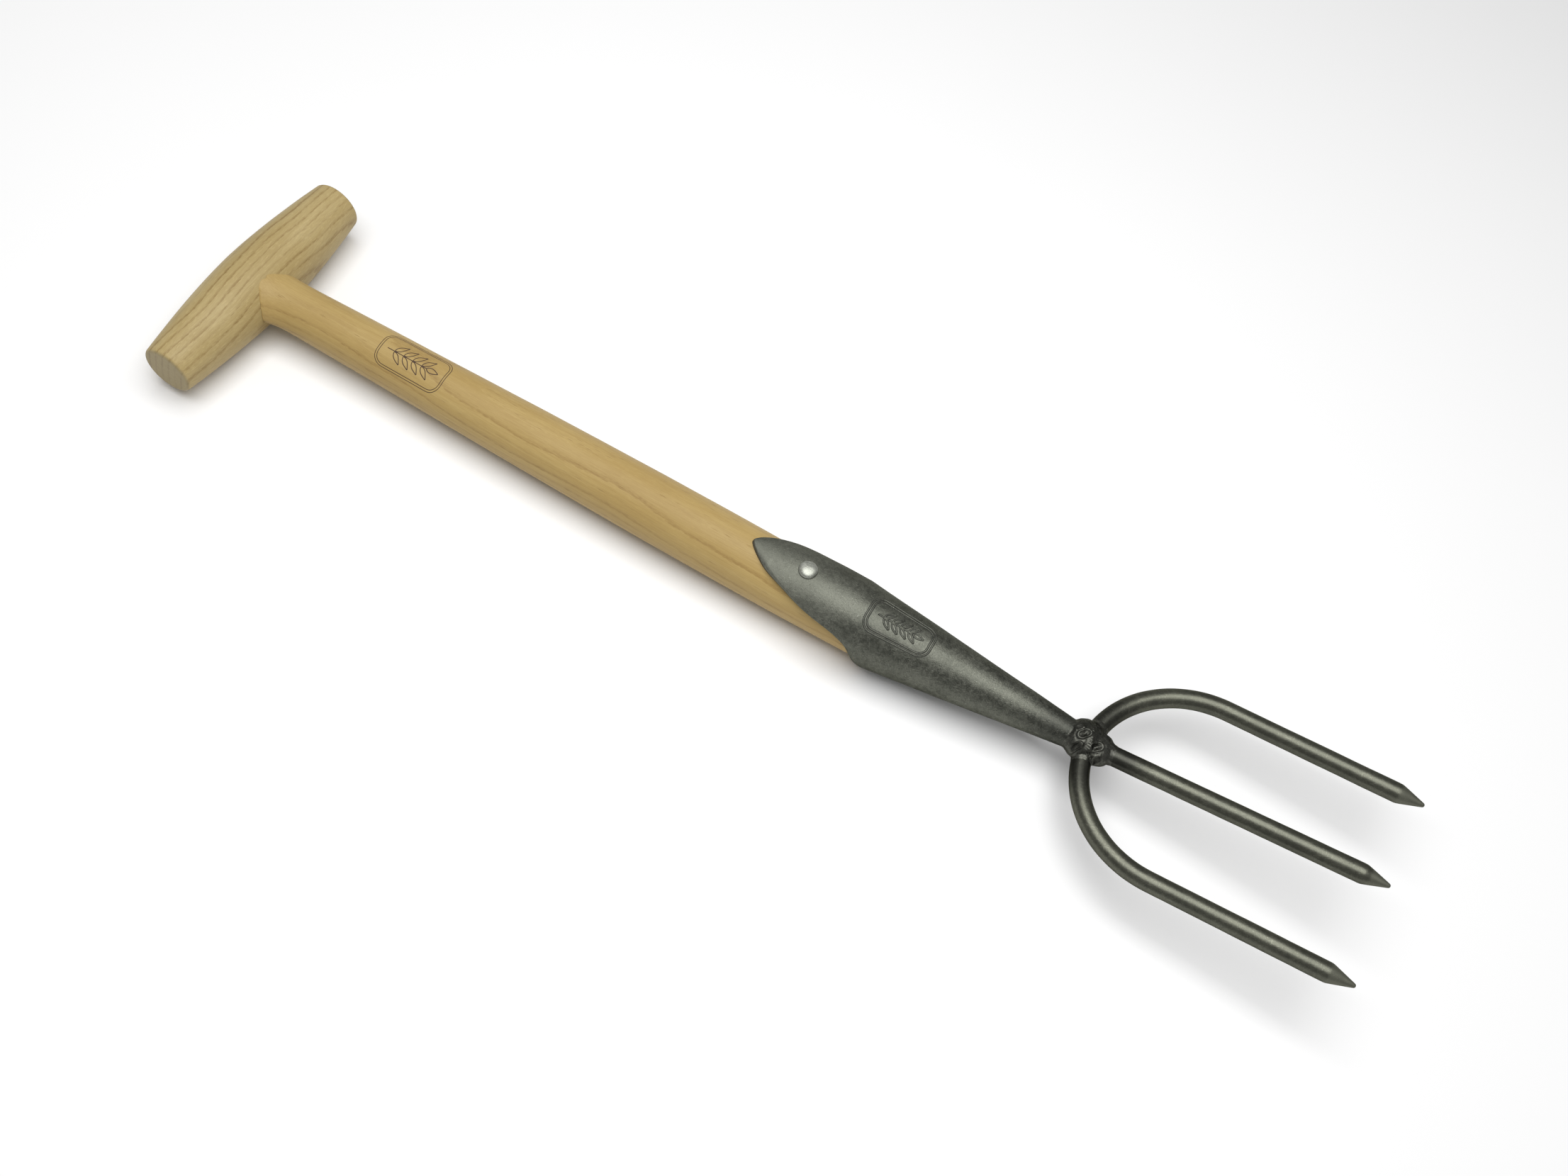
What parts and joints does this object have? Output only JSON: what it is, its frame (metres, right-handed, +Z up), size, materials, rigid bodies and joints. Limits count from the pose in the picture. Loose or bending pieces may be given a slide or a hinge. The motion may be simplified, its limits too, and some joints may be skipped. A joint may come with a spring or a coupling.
{
  "type": "digging fork",
  "caption": "Short-handled digging fork with a wooden T-handle, a riveted rolled-steel socket and round-bar tines.",
  "frame": {"origin": "under the middle of the bounding box, on the surface that the fork lies on with its strap side up", "axes": "+X along the shaft from the T-handle to the tine tips, +Y along the T-handle, +Z up out of the strap side"},
  "size_m": [0.6769, 0.142, 0.05],
  "materials": {
    "grip_wood": "satin, oiled pale ash",
    "shaft_wood": "satin, oiled ash",
    "wedge_wood": "dressed hardwood",
    "socket_steel": "tumbled, mottled dark grey",
    "rivet_metal": "tumbled, bright",
    "tine_steel": "tumbled, satin dark grey",
    "weld_metal": "tumbled weld bead"
  },
  "bodies": {
    "root": {"grip": "grip_wood", "shaft": "shaft_wood", "tenon_wedge": "wedge_wood", "socket": "socket_steel", "rivet": "rivet_metal", "rivet_washer": "rivet_metal", "outer_tines": "tine_steel", "centre_tine": "tine_steel", "front_weld": "weld_metal", "back_weld": "weld_metal"}
  },
  "joints": []
}
